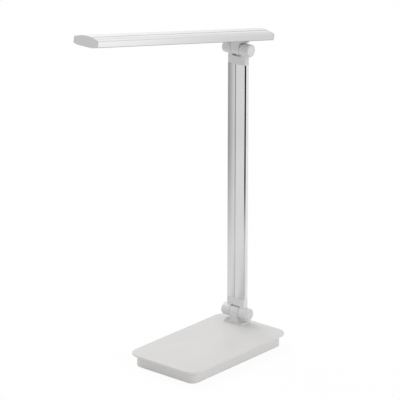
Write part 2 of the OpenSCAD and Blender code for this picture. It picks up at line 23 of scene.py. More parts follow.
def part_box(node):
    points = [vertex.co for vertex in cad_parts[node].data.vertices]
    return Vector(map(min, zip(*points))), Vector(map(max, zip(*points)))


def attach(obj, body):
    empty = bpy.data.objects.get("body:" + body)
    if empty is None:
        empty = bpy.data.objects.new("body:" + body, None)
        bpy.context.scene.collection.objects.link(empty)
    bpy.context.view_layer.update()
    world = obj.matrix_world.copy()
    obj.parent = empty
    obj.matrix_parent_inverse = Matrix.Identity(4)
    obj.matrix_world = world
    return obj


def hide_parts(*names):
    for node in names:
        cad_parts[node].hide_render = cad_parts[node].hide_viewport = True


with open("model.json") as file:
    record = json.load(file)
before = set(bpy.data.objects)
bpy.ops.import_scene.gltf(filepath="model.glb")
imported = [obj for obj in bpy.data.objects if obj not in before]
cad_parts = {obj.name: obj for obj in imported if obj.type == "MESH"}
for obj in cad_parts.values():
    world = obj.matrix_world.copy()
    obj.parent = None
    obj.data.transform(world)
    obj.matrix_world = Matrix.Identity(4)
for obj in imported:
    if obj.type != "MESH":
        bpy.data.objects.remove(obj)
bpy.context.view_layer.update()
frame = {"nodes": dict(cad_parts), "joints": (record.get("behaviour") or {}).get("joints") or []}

LOG = logging.getLogger("desk_lamp")
MM = 0.001
# An edge that turns by more than SHARP counts as sharp, and one longer than LONG runs along a profile.
SHARP = math.radians(32)
LONG = 0.1
# Corners nearer than CLOSE become one corner, and faces that turn by less than FLAT become one face.
CLOSE = 0.002 * MM
FLAT = math.radians(0.6)
# Points nearer than TOUCH are level, and normals closer to an axis than ALIGNED point along it.
TOUCH = 0.01 * MM
ALIGNED = 0.99
# Each further screw of a set is turned by this angle, in radians.
SCREW_SPIN = 0.7
# All finishes share the bump's strength and the scale of the slow change of colour. A wave pattern's
# scale is WAVE_SCALE over its width, and light enters the opal cover to OPAL_DEPTH. No finish is
# smoother than MIN_ROUGHNESS.
BUMP_STRENGTH = 0.5
SLOW_SCALE = 22.0
WAVE_SCALE = 0.314
OPAL_DEPTH = 2 * MM
MIN_ROUGHNESS = 0.02
# Socket numbers of the Mix node, whose sockets share their names.
FLOAT_A, FLOAT_B, COLOUR_A, COLOUR_B = 2, 3, 6, 7
FLOAT_OUT, COLOUR_OUT = 0, 2
WHITE = (1.0, 1.0, 1.0, 1.0)
Colour = tuple[float, float, float]
Choice = Callable[[Vector, Vector], bool]
Inputs = dict[str | int, object]


def linear(level: int) -> float:
    """Turn one 0 to 255 display level into a shader's linear value, by the standard display curve."""
    part = level / 255
    if part <= 0.04045:
        return part / 12.92
    return ((part + 0.055) / 1.055) ** 2.4


def grey(level: int, warmth: int = 0) -> Colour:
    """Return a near neutral colour from a display level.

    Args:
        level: Display level of the green channel, 0 to 255.
        warmth: Levels that red gains and blue loses.

    Returns:
        The linear colour.
    """
    return (linear(level + warmth), linear(level), linear(level - warmth))


def feed(tree: NodeTree, node: Node, inputs: Inputs) -> None:
    """Link or set inputs of a shader node.

    Args:
        tree: The node tree.
        node: The node.
        inputs: A socket to link or a plain value for each input, by the input's name or number.
    """
    for key, value in inputs.items():
        if isinstance(value, NodeSocket):
            tree.links.new(value, node.inputs[key])
        else:
            node.inputs[key].default_value = value


def add_node(tree: NodeTree, kind: str, inputs: Inputs | None = None, **options: str) -> Node:
    """Add a shader node.

    Args:
        tree: The node tree.
        kind: The node's type, as it follows "ShaderNode".
        inputs: What its inputs get, as in feed.
        options: Values of the node's own options.

    Returns:
        The new node.
    """
    node = tree.nodes.new("ShaderNode" + kind)
    for name, value in options.items():
        setattr(node, name, value)
    feed(tree, node, inputs or {})
    return node


class Grain(Enum):
    """The kinds of surface structure on this lamp."""

    MOULDED = "fine spark texture of an injection mould"
    BRUSHED = "hairlines from a brushing belt"
    PLATED = "bright metal with faint turning marks"
    RIBBED = "rows of shallow ribs"
    SMOOTH = "smooth with slow waves"
    LAMINATE = "woven glass under a lacquer"


class Along(Enum):
    """The direction that a grain is drawn out in."""

    NONE = (1.0, 1.0, 1.0)
    X = (0.015, 1.0, 1.0)
    Y = (1.0, 0.015, 1.0)
    Z = (1.0, 1.0, 0.015)


@dataclass(frozen=True)
class Ramp:
    """A smooth rise from 0 to 1 along one axis of the part's own frame.

    Attributes:
        axis: "X", "Y" or "Z".
        start: Coordinate where the rise begins, in metres.
        end: Coordinate where it is complete, in metres.
    """

    axis: str
    start: float
    end: float


@dataclass(frozen=True)
class Fade:
    """A slow change to another colour; every fade on this lamp is painted light or shade.

    Attributes:
        colour: Linear colour where the change is complete.
        ramps: The rises whose product is the share of that colour.
    """

    colour: Colour
    ramps: tuple[Ramp, ...]


@dataclass(frozen=True)
class Finish:
    """One finish, from which a node material is built.

    Attributes:
        name: Material name in plain words.
        slot: The record's material slot that it stands for; not used.
        colour: Linear base colour.
        roughness: Middle roughness.
        metallic: 1 for bare metal, 0 for everything else.
        grain: Kind of surface structure.
        along: Direction that the grain is drawn out in.
        grain_size: Width of one grain, in metres.
        relief: Height of the grain, in metres.
        mottle: Share by which the colour varies.
        spread: How far the roughness varies each way.
        tilt: Turn of the grain about X, in radians.
        through: Share of light that passes, for an opal cover.
        coat: Strength of a clear coat.
        gloss: Strength of the plain reflection, 0.5 for common plastic.
        fades: Slow changes of colour, laid one over the other. They are painted light and shade.
    """

    name: str
    slot: str
    colour: Colour
    roughness: float
    metallic: float = 0.0
    grain: Grain = Grain.MOULDED
    along: Along = Along.NONE
    grain_size: float = 0.0004
    relief: float = 0.00003
    mottle: float = 0.03
    spread: float = 0.05
    tilt: float = 0.0
    through: float = 0.0
    coat: float = 0.0
    gloss: float = 0.5
    fades: tuple[Fade, ...] = ()

    def material(self) -> Material:
        """Return the node material, built at its first use."""
        known = bpy.data.materials.get(self.name)
        if known is not None:
            return known
        made = bpy.data.materials.new(self.name)
        made.use_nodes = True
        made.diffuse_color = (*self.colour, 1.0)
        self._wire(made.node_tree)
        return made

    def _wire(self, tree: NodeTree) -> None:
        """Wire colour, roughness and bump from patterns in object space.

        Args:
            tree: The new material's node tree.
        """
        where = add_node(tree, "TexCoord").outputs["Object"]
        fine = self._fine_pattern(tree, where)
        low = max(MIN_ROUGHNESS, self.roughness - self.spread)
        high = min(1.0, self.roughness + self.spread)
        rough = add_node(tree, "MapRange", {"Value": fine, "To Min": low, "To Max": high})
        relief = {"Height": fine, "Strength": BUMP_STRENGTH, "Distance": self.relief}
        bump = add_node(tree, "Bump", relief)
        shader = tree.nodes["Principled BSDF"]
        feed(tree, shader, {
            "Base Color": self._faded(tree, where, self._mottled(tree, where, fine)),
            "Roughness": rough.outputs["Result"],
            "Normal": bump.outputs["Normal"],
            "Metallic": self.metallic,
            "Coat Weight": self.coat,
            "Specular IOR Level": self.gloss,
        })
        if self.through:
            feed(tree, shader, {"Subsurface Weight": self.through, "Subsurface Scale": OPAL_DEPTH})

    def _fine_pattern(self, tree: NodeTree, where: NodeSocket) -> NodeSocket:
        """Return the fine pattern that drives relief and roughness, drawn out along the grain.

        Args:
            tree: The material's node tree.
            where: Socket with object coordinates.

        Returns:
            A socket whose value runs from 0 to 1.
        """
        turn = add_node(tree, "Mapping", {"Vector": where, "Rotation": (self.tilt, 0.0, 0.0)})
        stretch = add_node(tree, "Mapping", {"Vector": turn.outputs[0], "Scale": self.along.value})
        place = stretch.outputs[0]
        if self.grain in (Grain.RIBBED, Grain.LAMINATE):
            bands = "Y" if self.grain is Grain.RIBBED else "DIAGONAL"
            wave = {"Vector": place, "Scale": WAVE_SCALE / self.grain_size, "Distortion": 0.2}
            return add_node(tree, "TexWave", wave, bands_direction=bands).outputs["Fac"]
        detail = 1.0 if self.grain is Grain.SMOOTH else 3.0
        noise = {"Vector": place, "Scale": 1 / self.grain_size, "Detail": detail, "Roughness": 0.6}
        return add_node(tree, "TexNoise", noise).outputs["Fac"]

    def _mottled(self, tree: NodeTree, where: NodeSocket, fine: NodeSocket) -> NodeSocket:
        """Mix a slow and a fine variation into the base colour.

        Args:
            tree: The material's node tree.
            where: Socket with object coordinates.
            fine: Socket with the fine pattern.

        Returns:
            A socket with the colour.
        """
        slow = add_node(tree, "TexNoise", {"Vector": where, "Scale": SLOW_SCALE, "Detail": 2.0})
        halves = {"Factor": 0.5, FLOAT_A: slow.outputs["Fac"], FLOAT_B: fine}
        both = add_node(tree, "Mix", halves, data_type="FLOAT")
        ramp = add_node(tree, "ValToRGB", {"Fac": both.outputs[FLOAT_OUT]})
        ends = ((0.3, 1 - self.mottle), (0.7, 1 + self.mottle))
        for element, (position, share) in zip(ramp.color_ramp.elements, ends):
            element.position = position
            element.color = (*(min(1.0, part * share) for part in self.colour), 1.0)
        return ramp.outputs["Color"]

    def _faded(self, tree: NodeTree, where: NodeSocket, colour: NodeSocket) -> NodeSocket:
        """Let a colour turn slowly into the fades' colours.

        Args:
            tree: The material's node tree.
            where: Socket with object coordinates.
            colour: Socket with the colour to change.

        Returns:
            A socket with the changed colour.
        """
        for fade in self.fades:
            share = self._share(tree, where, fade.ramps)
            pair = {"Factor": share, COLOUR_A: colour, COLOUR_B: (*fade.colour, 1.0)}
            colour = add_node(tree, "Mix", pair, data_type="RGBA").outputs[COLOUR_OUT]
        return colour

    def _share(self, tree: NodeTree, where: NodeSocket, ramps: tuple[Ramp, ...]) -> NodeSocket:
        """Multiply several ramps.

        Args:
            tree: The material's node tree.
            where: Socket with object coordinates.
            ramps: The ramps to multiply.

        Returns:
            A socket whose value runs from 0 to 1.
        """
        split = add_node(tree, "SeparateXYZ", {0: where})
        share = 1.0
        for ramp in ramps:
            rise = {"Value": split.outputs[ramp.axis], "From Min": ramp.start, "From Max": ramp.end}
            step = add_node(tree, "MapRange", rise, interpolation_type="SMOOTHSTEP")
            product = {0: share, 1: step.outputs["Result"]}
            share = add_node(tree, "Math", product, operation="MULTIPLY").outputs[0]
        return share


HEAD_TILT = math.radians(10.4)
CASE_PLASTIC = Finish("warm_silver_case", "base_plastic", grey(216, 1), 0.42)
# Painted shade: the hinge grey darkens from 224 to 203 between 0.08 and 0.3 m up, so the upper hinge under
# the head is darker.
HINGE_PLASTIC = Finish(
    "hinge_grey_painted_shade", "hinge_plastic", grey(224), 0.4, grain_size=0.0003,
    fades=(Fade(grey(203), (Ramp("Z", 0.08, 0.3),)),),
)
CAP_PLASTIC = Finish("satin_end_grey", "cap_plastic", grey(214), 0.38, grain_size=0.0003)
# Painted shade: a darker copy of the cap grey for the end caps' rim faces, standing in for the dark outline
# that light leaves there.
CAP_RIM_SHADE = replace(CAP_PLASTIC, name="cap_rim_painted_shade", colour=grey(188))
ARM_ALUMINIUM = Finish(
    "arm_aluminium", "anodised", grey(226), 0.34, metallic=0.9, grain=Grain.BRUSHED, along=Along.Z,
    grain_size=0.00025, relief=0.00001, mottle=0.04, spread=0.07,
)
# Painted shade: the arm's face darkens toward the top of its left half, for the shade under the head and
# its dark reflection there.
ARM_FACE_SHADED_ALUMINIUM = replace(
    ARM_ALUMINIUM, name="arm_face_aluminium_painted_shade", colour=grey(217),
    fades=(Fade(grey(150), (Ramp("Z", 0.06, 0.27), Ramp("X", -0.018, -0.033))),),
)
# Painted shade: the head's grey darkens toward its rear end, and more on its right side, for how the light
# falls along it.
HEAD_SHADED_ALUMINIUM = Finish(
    "head_aluminium_painted_shade", "anodised", grey(238), 0.36, metallic=0.7, grain=Grain.BRUSHED, along=Along.Y,
    grain_size=0.00025, relief=0.00001, mottle=0.03, spread=0.06, tilt=HEAD_TILT,
    fades=(
        Fade(grey(226), (Ramp("Y", -0.2, 0.12),)),
        Fade(grey(208), (Ramp("Y", -0.2, 0.12), Ramp("X", -0.006, -0.001))),
    ),
)
# Painted shade: a darker copy of the head's grey for its lower rounded long edge; the groove shades below
# start from it.
LOWER_EDGE_SHADE = Finish(
    "head_lower_edge_painted_shade", "anodised", grey(176), 0.5, metallic=0.6, grain=Grain.BRUSHED, along=Along.Y,
    grain_size=0.00025, relief=0.00001, mottle=0.05, spread=0.06, tilt=HEAD_TILT,
)
# Painted shade for the head's upper rounded long edge.
UPPER_EDGE_SHADE = replace(LOWER_EDGE_SHADE, name="head_upper_edge_painted_shade", colour=grey(213))
# Painted shade in the grooves: the head's grooves, lighter on its right side, and the arm's groove, darker
# toward its top under the head.
HEAD_GROOVE_SHADE = replace(
    LOWER_EDGE_SHADE, name="head_groove_painted_shade", colour=grey(196),
    fades=(Fade(grey(226), (Ramp("X", -0.009, -0.007),)),),
)
ARM_GROOVE_SHADE = replace(
    LOWER_EDGE_SHADE, name="arm_groove_painted_shade", colour=grey(214), along=Along.Z, tilt=0.0,
    fades=(Fade(grey(172), (Ramp("Z", 0.1, 0.27),)),),
)
# Painted light: the black strip fades to light grey toward the bottom, a painted reflection, and stays
# black at the top in the head's shade.
BLACK_STRIP_WITH_PAINTED_LIGHT = Finish(
    "black_strip_painted_light", "black_plastic", grey(12), 0.6, grain=Grain.SMOOTH, grain_size=0.01,
    relief=0.00001, spread=0.03, gloss=0.0,
    fades=(Fade(grey(200), (Ramp("Z", 0.22, 0.11),)),),
)
BLACK_PLASTIC = Finish("moulded_black", "black_plastic", grey(40), 0.5)
OPAL = Finish(
    "opal_cover", "opal", grey(243, 1), 0.45, grain=Grain.SMOOTH, grain_size=0.0008, relief=0.00002,
    mottle=0.01, through=0.5,
)
MAT_RUBBER = Finish(
    "mat_rubber", "rubber", grey(62), 0.82, grain=Grain.RIBBED, grain_size=0.002, relief=0.0002,
    mottle=0.12,
)
ZINC_STEEL = Finish(
    "zinc_steel", "steel", grey(205), 0.3, metallic=1.0, grain=Grain.PLATED, grain_size=0.0006,
    relief=0.00001, mottle=0.08, spread=0.1,
)
RAW_STEEL = Finish(
    "raw_steel", "steel", grey(150, 1), 0.48, metallic=1.0, grain=Grain.BRUSHED, along=Along.X,
    grain_size=0.0005, relief=0.00002, mottle=0.15, spread=0.12,
)
GREEN_LAMINATE = Finish(
    "green_laminate", "board", (0.02, 0.16, 0.06), 0.35, grain=Grain.LAMINATE, grain_size=0.0006,
    mottle=0.12, coat=0.5,
)
WHITE_LAMINATE = Finish(
    "white_laminate", "white_board", grey(236, 1), 0.4, grain=Grain.LAMINATE, grain_size=0.0006,
    mottle=0.03, coat=0.3,
)
CHIP_RESIN = Finish("chip_resin", "chips", grey(46), 0.6, grain_size=0.0002)
PHOSPHOR = Finish("phosphor", "led_yellow", (0.88, 0.66, 0.12), 0.35, grain_size=0.0002, through=0.2)
AMBER_FILM = Finish(
    "amber_film", "copper_film", (0.5, 0.24, 0.05), 0.3, grain=Grain.SMOOTH, grain_size=0.003, coat=0.3
)
PLATED_BRASS = Finish(
    "plated_brass", "contact", (0.72, 0.6, 0.32), 0.25, metallic=1.0, grain=Grain.PLATED,
    grain_size=0.0004, relief=0.00001,
)
LEAD_JACKET = Finish(
    "soft_black_sheath", "lead_jacket", grey(44), 0.5, grain=Grain.SMOOTH, grain_size=0.002, relief=0.00002
)


def finished(bm: BMesh, name: str, body: str, *finishes: Finish) -> Object:
    """Turn a bmesh into a finished piece that rides on a body.

    Args:
        bm: The piece in the part's own frame. It is freed.
        name: The piece's name.
        body: The CAD body that carries it.
        finishes: Its finishes, in the order of its faces' material numbers.

    Returns:
        The new object.
    """
    for edge in bm.edges:
        edge.smooth = len(edge.link_faces) == 2 and edge.calc_face_angle(0.0) < SHARP
    for face in bm.faces:
        face.smooth = True
    mesh = bpy.data.meshes.new(name)
    bm.to_mesh(mesh)
    bm.free()
    for finish in finishes:
        mesh.materials.append(finish.material())
    piece = bpy.data.objects.new(name, mesh)
    bpy.context.scene.collection.objects.link(piece)
    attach(piece, body)
    LOG.info("%s: %d faces, rides on %s", name, len(mesh.polygons), body)
    return piece


def merged_copy(node: str, reach: float = CLOSE) -> BMesh:
    """Copy a CAD node's mesh with its loose triangles merged into clean faces.

    Args:
        node: The CAD node's name.
        reach: Distance within which corners become one.

    Returns:
        A bmesh in the part's own frame.
    """
    bm = bmesh.new()
    bm.from_mesh(frame["nodes"][node].data)
    bmesh.ops.remove_doubles(bm, verts=bm.verts, dist=reach)
    bmesh.ops.dissolve_limit(
        bm, angle_limit=FLAT, use_dissolve_boundaries=False, verts=bm.verts, edges=bm.edges,
        delimit=set(),
    )
    return bm


def round_edges(bm: BMesh, width: float, chosen: Choice, segments: int = 3) -> None:
    """Round the sharp edges that a rule picks.

    Args:
        bm: The mesh to change.
        width: Width of the rounding, in metres.
        chosen: Takes both ends of an edge and tells whether it is rounded.
        segments: Number of faces across the rounding.
    """
    edges = [
        edge
        for edge in bm.edges
        if len(edge.link_faces) == 2
        and edge.calc_face_angle(0.0) > SHARP
        and chosen(edge.verts[0].co, edge.verts[1].co)
    ]
    if edges:
        bmesh.ops.bevel(
            bm, geom=edges, offset=width, offset_type="OFFSET", segments=segments, profile=0.5,
            affect="EDGES", clamp_overlap=True, material=-1,
        )


def paint_groove_shade(bm: BMesh, inside: Callable[[Vector], bool]) -> None:
    """Give the faces that lie wholly inside a groove the piece's second finish, a painted shade.

    Args:
        bm: The mesh to change.
        inside: Tells whether a point lies in a groove.
    """
    for face in bm.faces:
        if all(inside(vert.co) for vert in face.verts):
            face.material_index = 1


def joined(parts: Iterable[BMesh]) -> BMesh:
    """Join several bmeshes into one and free them."""
    whole = bmesh.new()
    for part in parts:
        scratch = bpy.data.meshes.new("scratch")
        part.to_mesh(scratch)
        part.free()
        whole.from_mesh(scratch)
        bpy.data.meshes.remove(scratch)
    return whole


def turned(points: list[tuple[float, float]], steps: int = 48) -> BMesh:
    """Spin a profile about the X axis.

    Args:
        points: Pairs of distance along X and radius, which start and end on the axis or close up.
        steps: Number of steps round the axis.

    Returns:
        A closed bmesh about the X axis.
    """
    bm = bmesh.new()
    verts = [bm.verts.new((x, 0.0, radius)) for x, radius in points]
    edges = [bm.edges.new(pair) for pair in zip(verts, verts[1:])]
    bmesh.ops.spin(
        bm, geom=verts + edges, cent=(0, 0, 0), axis=(1, 0, 0), angle=math.tau, steps=steps,
        use_merge=True, use_duplicate=False,
    )
    bmesh.ops.remove_doubles(bm, verts=bm.verts, dist=CLOSE)
    bmesh.ops.recalc_face_normals(bm, faces=bm.faces)
    return bm


@dataclass
class CrossScrew:
    """A round headed screw with a cross recess, drawn along -Z with its head on top.

    Attributes:
        head: Head diameter.
        height: Head height.
        shank: Shank diameter.
        length: Shank length under the head.
        crown: Radius of the head's flat top, as a share of the head's radius.
        cross_reach: Reach of the cross from the middle, as such a share.
        cross_half: Half width of the cross, as such a share.
        cross_depth: Depth of the cross, as a share of the head's height.
    """

    head: float
    height: float
    shank: float
    length: float
    crown: float = 0.82
    cross_reach: float = 0.5
    cross_half: float = 0.13
    cross_depth: float = 0.6

    def mesh(self) -> BMesh:
        """Return the screw with the underside of its head at the origin."""
        bm = bmesh.new()
        radius = self.head / 2
        ring = bmesh.ops.create_circle(bm, cap_ends=False, radius=radius * self.crown, segments=32)["verts"]
        rim = list({edge for vert in ring for edge in vert.link_edges})
        arm = radius * self.cross_reach
        half = radius * self.cross_half
        corners = [
            (half, arm), (-half, arm), (-half, half), (-arm, half), (-arm, -half), (-half, -half),
            (-half, -arm), (half, -arm), (half, -half), (arm, -half), (arm, half), (half, half),
        ]
        cross = [bm.verts.new((x, y, 0.0)) for x, y in corners]
        slot = [bm.edges.new((a, b)) for a, b in zip(cross, cross[1:] + cross[:1])]
        bmesh.ops.triangle_fill(bm, use_beauty=True, use_dissolve=False, edges=rim + slot)
        inner = [face for face in bm.faces if face.calc_center_median().length < half * 0.9]
        bmesh.ops.delete(bm, geom=inner, context="FACES_ONLY")
        bmesh.ops.translate(bm, verts=bm.verts, vec=(0, 0, self.height))
        self._sink(bm, slot)
        self._skirt(bm, rim, radius)
        bmesh.ops.remove_doubles(bm, verts=bm.verts, dist=0.001 * MM)
        bmesh.ops.recalc_face_normals(bm, faces=bm.faces)
        return bm

    def _sink(self, bm: BMesh, slot: list[BMEdge]) -> None:
        """Extrude the cross down and close its floor."""
        sunk = bmesh.ops.extrude_edge_only(bm, edges=slot)["geom"]
        low = [item for item in sunk if isinstance(item, BMVert)]
        edges = [item for item in sunk if isinstance(item, BMEdge)]
        bmesh.ops.translate(bm, verts=low, vec=(0, 0, -self.height * self.cross_depth))
        bmesh.ops.contextual_create(bm, geom=edges)

    def _skirt(self, bm: BMesh, rim: list[BMEdge], radius: float) -> None:
        """Extrude the rim out and down in rounded steps, then in to the shank's tip."""
        steps = [
            (radius * 0.95, self.height * 0.85), (radius, self.height * 0.6), (radius, 0.0),
            (self.shank / 2, 0.0), (self.shank / 2, -self.length + self.shank * 0.2),
            (self.shank * 0.35, -self.length),
        ]
        edges = rim
        for reach, level in steps:
            geom = bmesh.ops.extrude_edge_only(bm, edges=edges)["geom"]
            verts = [item for item in geom if isinstance(item, BMVert)]
            edges = [item for item in geom if isinstance(item, BMEdge)]
            for vert in verts:
                flat = Vector((vert.co.x, vert.co.y, 0.0)).normalized() * reach
                vert.co = (flat.x, flat.y, level)
        bmesh.ops.contextual_create(bm, geom=edges)


def screws(
    kind: CrossScrew, places: Iterable[Vector], turn: Matrix, name: str, body: str, node: str
) -> Object:
    """Set copies of a screw at several places as one piece that stands for a CAD node.

    Args:
        kind: The screw.
        places: Where the underside of each head sits.
        turn: Turn that lays the screw's -Z along its hole.
        name: The piece's name.
        body: The CAD body that carries it.
        node: The CAD node that it stands for.

    Returns:
        The new object.
    """
    parts = []
    for number, place in enumerate(places):
        bm = kind.mesh()
        spin = Matrix.Rotation(SCREW_SPIN * number, 4, "Z")
        bmesh.ops.transform(bm, matrix=Matrix.Translation(place) @ turn @ spin, verts=bm.verts)
        parts.append(bm)
    piece = finished(joined(parts), name, body, ZINC_STEEL)
    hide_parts(node)
    return piece


def solid_centres(node: str) -> list[tuple[Vector, Vector]]:
    """Find the box of each loose solid in a CAD node.

    Args:
        node: The CAD node's name.

    Returns:
        Lowest and highest corner of each solid.
    """
    bm = merged_copy(node)
    left = set(bm.verts)
    boxes = []
    while left:
        queue = [left.pop()]
        island = list(queue)
        while queue:
            vert = queue.pop()
            for edge in vert.link_edges:
                other = edge.other_vert(vert)
                if other in left:
                    left.remove(other)
                    queue.append(other)
                    island.append(other)
        low = Vector(min(v.co[axis] for v in island) for axis in range(3))
        high = Vector(max(v.co[axis] for v in island) for axis in range(3))
        boxes.append((low, high))
    bm.free()
    return sorted(boxes, key=lambda pair: tuple(pair[0]))


def joint_place(name: str) -> Vector:
    """Return the place of a joint in the part's own frame."""
    for joint in frame["joints"]:
        if joint["name"] == name:
            return Vector(joint["pos_m"])
    raise ValueError(f"no joint named {name}")


@dataclass
class Base:
    """The weighted base: its cover, its case, its mat and its supply inlet.

    Attributes:
        cover_round: Rounding of the top plate's edge.
        case_round: Rounding of the case's lower edge.
        mat_round: Rounding of the mat's edge.
        wall: Depth of the inlet's ring in the rear wall.
        ring_outer: Outer radius of the inlet's ring.
        ring_inner: Inner radius of the inlet's ring.
        ring_bevel: Width of the bevels on the inlet's ring.
        ring_shoulder: Depth of the bevel on the ring's outer edge.
        plate_depth: Depth below the top within which the top plate's edges lie.
        corner_reach: Width of the zone at the sides that holds the top plate's outline.
        corner_depth: Length of the zone at the ends that holds it.
        inner_margin: Distance from the outline past which an edge lies inside.
        case_zone: Width of the zone that holds the case's lower outline and its corners.
        case_skin: Distance from the case's outside within which such an edge has one end at least.
        screw_height: Head height of a case screw.
        screw_shank: Shank diameter of a case screw.
        screw_length: Shank length of a case screw.
        screw_seat: Height of a case screw's seat over its head.
    """

    cover_round: float = 0.7 * MM
    case_round: float = 0.8 * MM
    mat_round: float = 0.3 * MM
    wall: float = 2.2 * MM
    ring_outer: float = 3.72 * MM
    ring_inner: float = 3.3 * MM
    ring_bevel: float = 0.2 * MM
    ring_shoulder: float = 0.3 * MM
    plate_depth: float = 2.7 * MM
    corner_reach: float = 16 * MM
    corner_depth: float = 16.5 * MM
    inner_margin: float = 5 * MM
    case_zone: float = 10 * MM
    case_skin: float = 3 * MM
    screw_height: float = 1.6 * MM
    screw_shank: float = 2.9 * MM
    screw_length: float = 10 * MM
    screw_seat: float = 1.7 * MM

    def build(self) -> None:
        """Build and dress the whole base."""
        self.cover()
        self.case()
        self.mat()
        self.inlet()
        self.case_screws()

    def cover(self) -> None:
        """Round the top plate's edges and dress it."""
        _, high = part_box("base_cover")
        bm = merged_copy("base_cover")

        def outer(a: Vector, b: Vector) -> bool:
            """Tell whether an edge lies on the plate's outline."""
            side = high.x - self.corner_reach
            end = high.y - self.corner_depth
            margin = self.inner_margin
            far = all(abs(p.x) > side or abs(p.y) > end for p in (a, b))
            inside = all(abs(p.x) < high.x - margin and abs(p.y) < high.y - margin for p in (a, b))
            flat = abs(a.z - b.z) < TOUCH
            return far and flat and not inside and min(a.z, b.z) > high.z - self.plate_depth

        round_edges(bm, self.cover_round, outer)
        piece = finished(bm, "top_plate", "base", CASE_PLASTIC)
        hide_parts("base_cover")

    def case(self) -> None:
        """Round the case's lower edge and dress it."""
        low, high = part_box("base_tub")
        bm = merged_copy("base_tub")

        def lower(a: Vector, b: Vector) -> bool:
            """Tell whether an edge lies on the case's lower outline."""
            zone = self.case_zone
            skin = self.case_skin
            near = all(abs(p.x) > high.x - zone or abs(p.y) > high.y - zone for p in (a, b))
            outside = any(abs(p.x) > high.x - skin or abs(p.y) > high.y - skin for p in (a, b))
            return near and outside and max(a.z, b.z) < low.z + TOUCH

        round_edges(bm, self.case_round, lower)
        piece = finished(bm, "lower_case", "base", CASE_PLASTIC)
        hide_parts("base_tub")

    def mat(self) -> None:
        """Round the mat's lower edge and dress it."""
        low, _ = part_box("rubber_mat")
        bm = merged_copy("rubber_mat")
        round_edges(bm, self.mat_round, lambda a, b: max(a.z, b.z) < low.z + TOUCH, 2)
        piece = finished(bm, "anti_slip_mat", "base", MAT_RUBBER)
        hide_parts("rubber_mat")

    def inlet(self) -> None:
        """Line the inlet's opening with a ring."""
        _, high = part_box("inlet_socket")
        pin_low, pin_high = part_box("inlet_pin")
        centre = (pin_low + pin_high) / 2
        wall = self.wall
        bm = turned([
            (0.0, self.ring_inner), (0.0, self.ring_outer), (wall - self.ring_shoulder, self.ring_outer),
            (wall, self.ring_outer - self.ring_bevel), (wall, self.ring_inner + self.ring_bevel),
            (wall - self.ring_bevel, self.ring_inner), (0.0, self.ring_inner),
        ])
        turn = Matrix.Rotation(math.radians(90), 4, "Z")
        place = Matrix.Translation((centre.x, high.y, centre.z))
        bmesh.ops.transform(bm, matrix=place @ turn, verts=bm.verts)
        finished(bm, "inlet_ring", "base", BLACK_PLASTIC)

    def case_screws(self) -> None:
        """Set the four case screws, which are seen from below."""
        boxes = solid_centres("case_screws")
        low, high = boxes[0]
        kind = CrossScrew(high.x - low.x, self.screw_height, self.screw_shank, self.screw_length)
        places = [Vector(((a.x + b.x) / 2, (a.y + b.y) / 2, a.z + self.screw_seat)) for a, b in boxes]
        over = Matrix.Rotation(math.pi, 4, "X")
        screws(kind, places, over, "case_screw_set", "base", "case_screws")


@dataclass
class Hinge:
    """One barrel hinge: its middle knuckle, its bracket and its two end lids.

    Attributes:
        joint: Name of the joint that it turns in.
        post: CAD node with the middle knuckle.
        bracket: CAD node with the two outer knuckles.
        lids: CAD node with the end lids.
        post_body: Body of the middle knuckle.
        body: Body of the bracket.
        edge: Rounding of the visible edges.
        lid_radius: Radius of a lid.
        lid_rim: Width of a lid's raised rim.
        lid_thick: Thickness of a lid.
        lid_bevel: Width of the bevel on a lid's edge.
        lid_lip: Height of that bevel, and width of the slope inside the rim.
        lid_sink: Depth of the lid's face at the rim.
        lid_dome: Depth of the lid's face in the middle.
        bore_reach: Radius within which edges belong to the bores.
        middle: Distance from the middle within which edges stay sharp.
    """

    joint: str
    post: str
    bracket: str
    lids: str
    post_body: str
    body: str = "arm"
    edge: float = 0.45 * MM
    lid_radius: float = 6.65 * MM
    lid_rim: float = 0.55 * MM
    lid_thick: float = 1.6 * MM
    lid_bevel: float = 0.2 * MM
    lid_lip: float = 0.15 * MM
    lid_sink: float = 0.18 * MM
    lid_dome: float = 0.1 * MM
    bore_reach: float = 7.4 * MM
    middle: float = 6 * MM

    def build(self) -> None:
        """Build and dress the hinge."""
        self.knuckles(self.post, self.post_body, self.post + "_shell")
        self.knuckles(self.bracket, self.body, self.bracket + "_shell")
        self.end_lids()

    def knuckles(self, node: str, body: str, name: str) -> None:
        """Round the outer edges of a knuckle piece.

        Args:
            node: The CAD node to copy.
            body: The body that carries it.
            name: The new piece's name.
        """
        axis = joint_place(self.joint)
        bm = merged_copy(node)

        def outer(a: Vector, b: Vector) -> bool:
            """Tell whether an edge is outside the bores and recesses."""
            if any(math.hypot(p.y - axis.y, p.z - axis.z) < self.bore_reach for p in (a, b)):
                return False
            return abs((a.x + b.x) / 2 - axis.x) > self.middle

        round_edges(bm, self.edge, outer)
        piece = finished(bm, name, body, HINGE_PLASTIC)
        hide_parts(node)

    def end_lids(self) -> None:
        """Turn the two lids with a thin raised rim."""
        axis = joint_place(self.joint)
        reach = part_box(self.lids)[1].x - axis.x
        radius = self.lid_radius
        inner = radius - self.lid_rim
        parts = []
        for side in (1, -1):
            bm = turned([
                (reach - self.lid_thick, 0.0), (reach - self.lid_thick, radius),
                (reach - self.lid_lip, radius), (reach, radius - self.lid_bevel), (reach, inner),
                (reach - self.lid_sink, inner - self.lid_lip), (reach - self.lid_dome, 0.0),
            ])
            flip = Matrix.Scale(side, 4, (1, 0, 0))
            bmesh.ops.transform(bm, matrix=Matrix.Translation(axis) @ flip, verts=bm.verts)
            bmesh.ops.recalc_face_normals(bm, faces=bm.faces)
            parts.append(bm)
        piece = finished(joined(parts), self.lids + "_turned", self.body, CAP_PLASTIC)
        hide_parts(self.lids)


